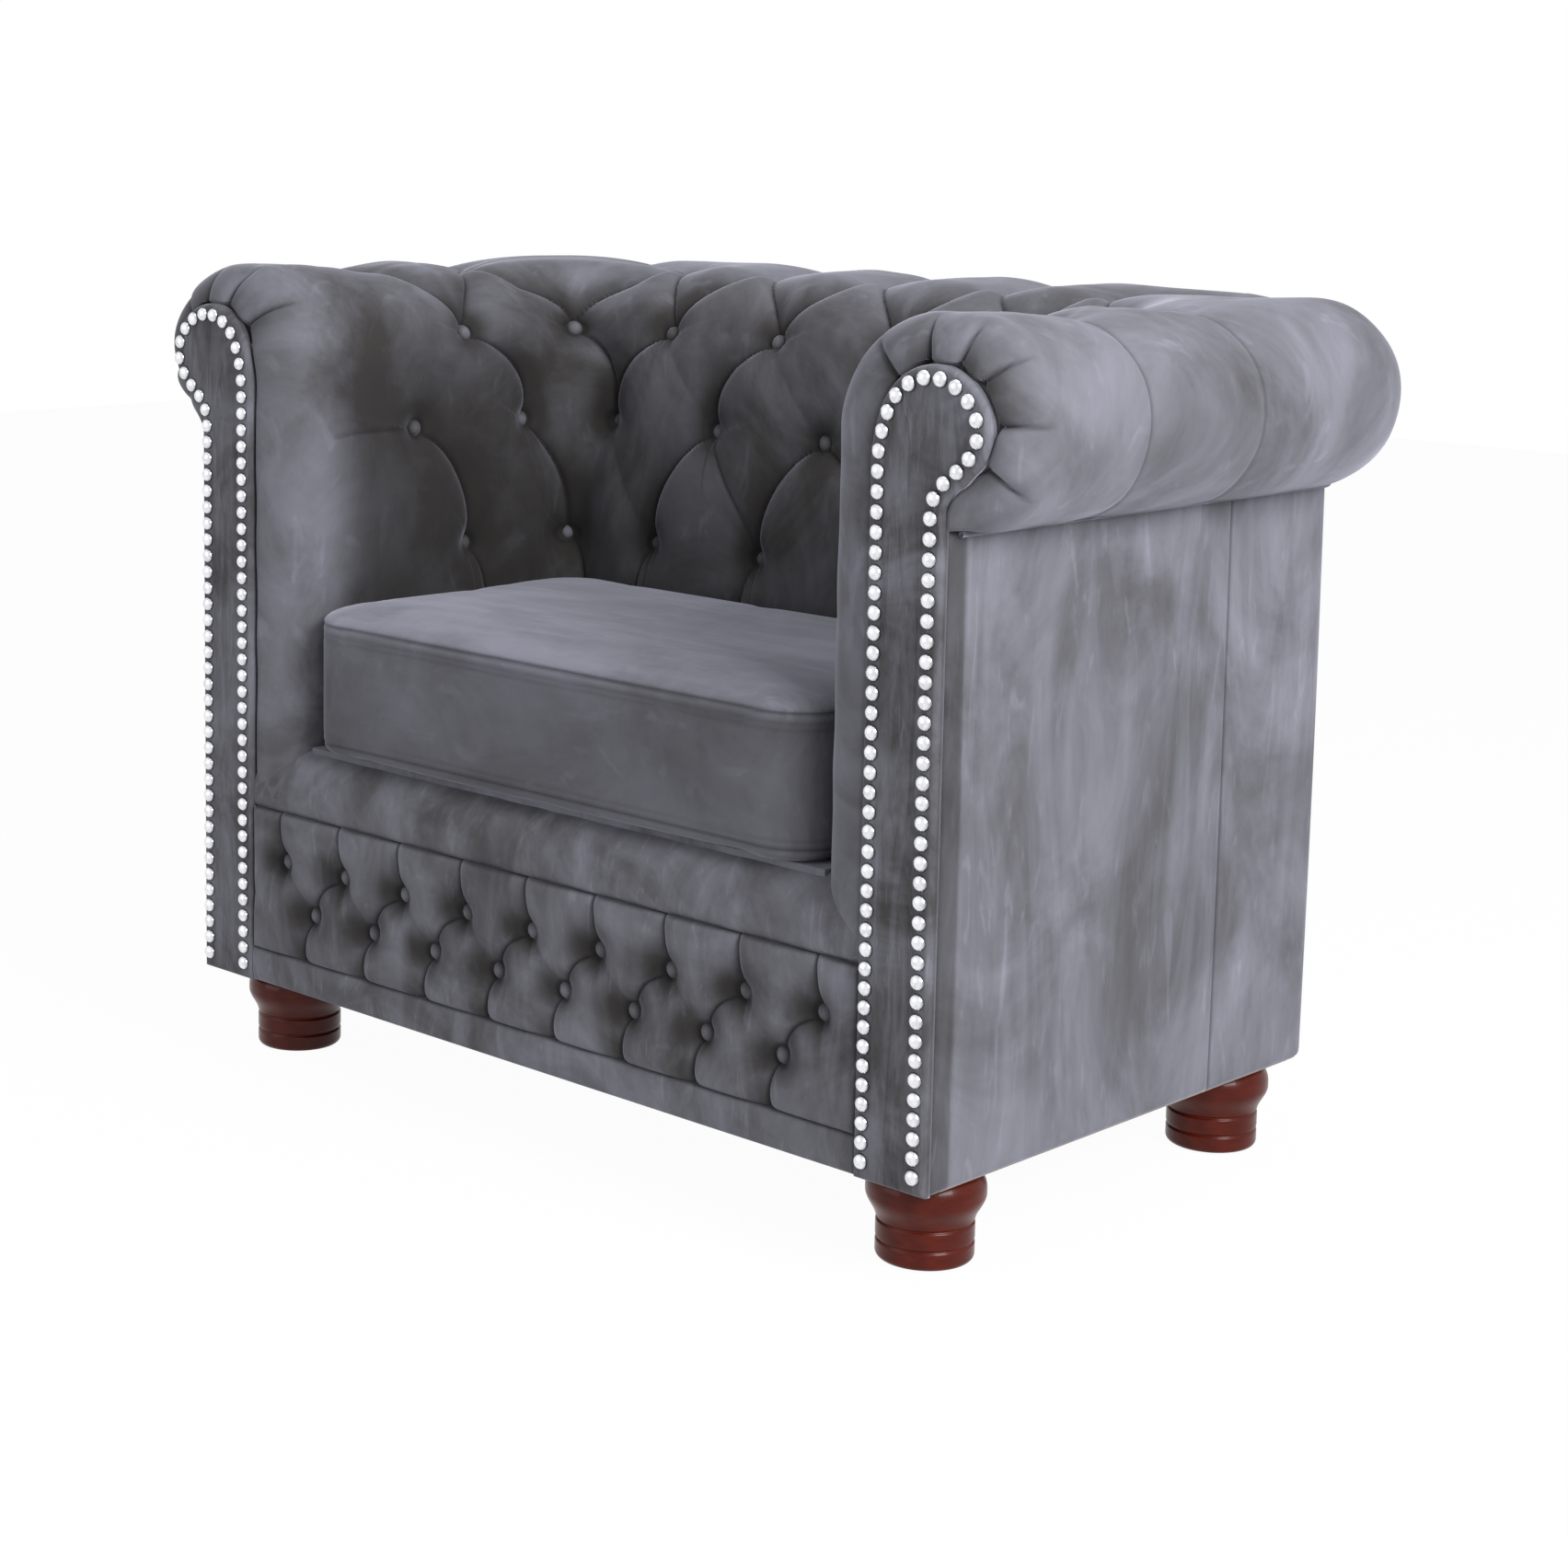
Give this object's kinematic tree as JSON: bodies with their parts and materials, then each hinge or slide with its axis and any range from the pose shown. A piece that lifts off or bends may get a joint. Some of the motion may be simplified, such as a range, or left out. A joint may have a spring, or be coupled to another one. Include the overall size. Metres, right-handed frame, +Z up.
{
  "type": "chesterfield armchair",
  "caption": "Low armchair with rolled button-tufted arms and back at one height, nailed arm-front facings, a loose box seat cushion, a tufted base panel and turned bun feet.",
  "frame": {"origin": "on the floor, under the middle of the chair", "axes": "+X to the right of someone looking at the front, the front faces -Y, +Z up"},
  "size_m": [1.05, 0.63, 0.76],
  "materials": {
    "velvet": "short-pile velvet, matte with a soft sheen",
    "frame_timber": "planed, unfinished",
    "foot_timber": "turned, stained red-brown, high gloss lacquer",
    "nail_steel": "bright nickel plated",
    "spring_steel": "oiled wire",
    "fastener_steel": "zinc plated",
    "clip_plastic": "moulded",
    "webbing": "woven, coarse",
    "hessian": "plain weave, coarse",
    "foam": "open cell, matte",
    "lining": "thin non-woven cloth, matte",
    "felt": "pressed felt, matte"
  },
  "bodies": {
    "chair": {"arm_buttons_left": "velvet", "arm_buttons_right": "velvet", "arm_facing_left": "velvet", "arm_facing_right": "velvet", "arm_pad_left": "velvet", "arm_pad_right": "velvet", "arm_stump_left": "frame_timber", "arm_stump_right": "frame_timber", "arm_tack_rail_left": "frame_timber", "arm_tack_rail_right": "frame_timber", "arm_top_board_left": "frame_timber", "arm_top_board_right": "frame_timber", "arm_webbing_left": "webbing", "arm_webbing_right": "webbing", "back_buttons": "velvet", "back_pad": "velvet", "back_tack_rail": "frame_timber", "back_top_board": "frame_timber", "back_uprights": "frame_timber", "back_webbing": "webbing", "base_buttons": "velvet", "base_panel": "velvet", "base_strip": "velvet", "centre_brace": "frame_timber", "corner_blocks": "frame_timber", "corner_pad_left": "velvet", "corner_pad_right": "velvet", "deck_hessian": "hessian", "dust_cover": "lining", "facing_nails_left": "nail_steel", "facing_nails_right": "nail_steel", "foot_front_left": "foot_timber", "foot_front_right": "foot_timber", "foot_glides": "felt", "foot_hanger_bolts": "fastener_steel", "foot_rear_left": "foot_timber", "foot_rear_right": "foot_timber", "foot_tee_nuts": "fastener_steel", "front_border": "velvet", "front_rail": "frame_timber", "outer_arm_panel_left": "velvet", "outer_arm_panel_right": "velvet", "outer_back_panel": "velvet", "rear_post_left": "frame_timber", "rear_post_right": "frame_timber", "rear_rail": "frame_timber", "seat_deck_pad": "velvet", "seat_springs": "spring_steel", "side_rail_left": "frame_timber", "side_rail_right": "frame_timber", "spring_clips": "clip_plastic", "top_board_screws": "fastener_steel", "under_roll_piping": "velvet"},
    "seat_cushion": {"seat_cushion_cover": "velvet", "seat_cushion_core": "foam"}
  },
  "joints": [
    {"name": "seat_cushion_lift", "type": "slide", "parent": "chair", "child": "seat_cushion", "axis": [0, 0, 1], "range_m": [0, 0.2]}
  ]
}
